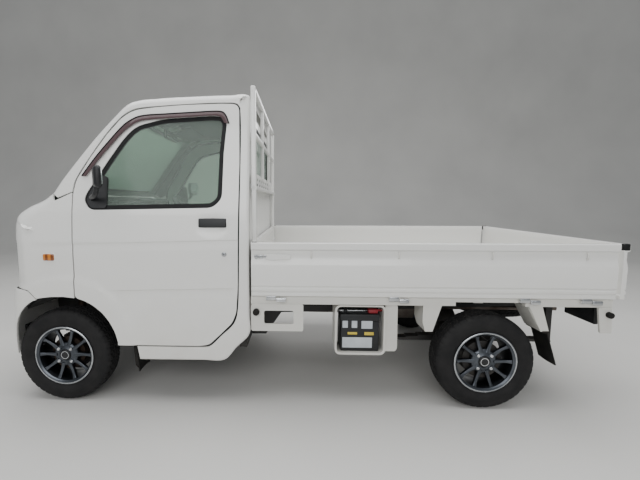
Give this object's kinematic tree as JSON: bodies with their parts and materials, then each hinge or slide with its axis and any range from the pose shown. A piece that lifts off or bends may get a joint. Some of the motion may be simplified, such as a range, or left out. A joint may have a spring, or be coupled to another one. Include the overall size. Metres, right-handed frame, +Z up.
{
  "type": "kei truck",
  "caption": "Small cab-over pickup truck with a drop-side cargo bed, guard frame behind the cab, hinged doors, opening gates, steering and rolling wheels.",
  "frame": {"origin": "on the ground, under the middle of the overall length and width", "axes": "+X forwards, +Y to the vehicle's left side, +Z up"},
  "size_m": [3.395, 1.7548, 1.765],
  "materials": {
    "body_paint": "gloss white",
    "bumper_paint": "gloss white",
    "frame_black": "satin black",
    "lamp_glass": "clear lens",
    "lamp_red": "red lens",
    "cab_glass": "pale green tinted",
    "dash_plastic": "dark grey",
    "black_plastic": "black",
    "seat_fabric": "dark grey woven",
    "flap_rubber": "black",
    "engine_metal": "plain",
    "exhaust_steel": "dull",
    "wheel_alloy": "dark grey metallic",
    "tyre_rubber": "black"
  },
  "bodies": {
    "body": {"chassis_frame": "frame_black", "cab_floor": "body_paint", "cab_sides": "body_paint", "cab_front_panel": "body_paint", "cab_back_panel": "body_paint", "roof_panel": "body_paint", "front_bumper": "bumper_paint", "headlamps": "lamp_glass", "windscreen": "cab_glass", "rear_window": "cab_glass", "dashboard": "dash_plastic", "seats": "seat_fabric", "bed_floor": "body_paint", "guard_frame": "body_paint", "bed_brackets": "body_paint", "mud_flaps": "flap_rubber", "battery": "black_plastic", "battery_tray": "body_paint", "engine_block": "engine_metal", "fuel_tank": "frame_black", "exhaust": "exhaust_steel", "rear_axle": "frame_black", "suspension": "frame_black", "spare_wheel": "tyre_rubber", "tail_lamps": "lamp_red"},
    "knuckle_left": {"knuckle_left": "frame_black"},
    "knuckle_right": {"knuckle_right": "frame_black"},
    "front_left_wheel": {"wheel_front_left": "wheel_alloy", "tyre_front_left": "tyre_rubber"},
    "front_right_wheel": {"wheel_front_right": "wheel_alloy", "tyre_front_right": "tyre_rubber"},
    "rear_left_wheel": {"wheel_rear_left": "wheel_alloy", "tyre_rear_left": "tyre_rubber"},
    "rear_right_wheel": {"wheel_rear_right": "wheel_alloy", "tyre_rear_right": "tyre_rubber"},
    "door_left": {"door_left": "body_paint", "door_glass_left": "cab_glass", "mirror_left": "black_plastic"},
    "door_right": {"door_right": "body_paint", "door_glass_right": "cab_glass", "mirror_right": "black_plastic"},
    "side_gate_left": {"side_gate_left": "body_paint"},
    "side_gate_right": {"side_gate_right": "body_paint"},
    "tailgate": {"tailgate": "body_paint"},
    "steering_wheel": {"steering_wheel": "black_plastic"}
  },
  "joints": [
    {"name": "front_left_steer", "type": "hinge", "parent": "body", "child": "knuckle_left", "pos_m": [1.3375, 0.585, 0.178], "axis": [0, -0.1977, 0.9803], "range_deg": [-36, 36]},
    {"name": "front_right_steer", "type": "hinge", "parent": "body", "child": "knuckle_right", "pos_m": [1.3375, -0.585, 0.178], "axis": [0, 0.1977, 0.9803], "range_deg": [-36, 36]},
    {"name": "steering_wheel_turn", "type": "hinge", "parent": "body", "child": "steering_wheel", "pos_m": [0.9375, -0.33, 1.04], "axis": [-0.766, 0, 0.6428], "range_deg": [-540, 540]},
    {"name": "front_left_spin", "type": "hinge", "parent": "knuckle_left", "child": "front_left_wheel", "pos_m": [1.3375, 0.645, 0.268], "axis": [0, 1, 0], "continuous": true},
    {"name": "front_right_spin", "type": "hinge", "parent": "knuckle_right", "child": "front_right_wheel", "pos_m": [1.3375, -0.645, 0.268], "axis": [0, 1, 0], "continuous": true},
    {"name": "rear_left_spin", "type": "hinge", "parent": "body", "child": "rear_left_wheel", "pos_m": [-1.0125, 0.645, 0.268], "axis": [0, 1, 0], "continuous": true},
    {"name": "rear_right_spin", "type": "hinge", "parent": "body", "child": "rear_right_wheel", "pos_m": [-1.0125, -0.645, 0.268], "axis": [0, 1, 0], "continuous": true},
    {"name": "door_left_hinge", "type": "hinge", "parent": "body", "child": "door_left", "pos_m": [1.228, 0.73, 0.8], "axis": [0, 0, 1], "range_deg": [-65, 0]},
    {"name": "door_right_hinge", "type": "hinge", "parent": "body", "child": "door_right", "pos_m": [1.228, -0.73, 0.8], "axis": [0, 0, 1], "range_deg": [0, 65]},
    {"name": "side_gate_left_hinge", "type": "hinge", "parent": "body", "child": "side_gate_left", "pos_m": [-0.6, 0.727, 0.615], "axis": [1, 0, 0], "range_deg": [-170, 0]},
    {"name": "side_gate_right_hinge", "type": "hinge", "parent": "body", "child": "side_gate_right", "pos_m": [-0.6, -0.727, 0.615], "axis": [1, 0, 0], "range_deg": [0, 170]},
    {"name": "tailgate_hinge", "type": "hinge", "parent": "body", "child": "tailgate", "pos_m": [-1.6885, 0, 0.615], "axis": [0, 1, 0], "range_deg": [-170, 0]}
  ],
  "couplings": [
    {"joint": "front_right_steer", "follows": "front_left_steer", "ratio": 1},
    {"joint": "steering_wheel_turn", "follows": "front_left_steer", "ratio": 15}
  ]
}
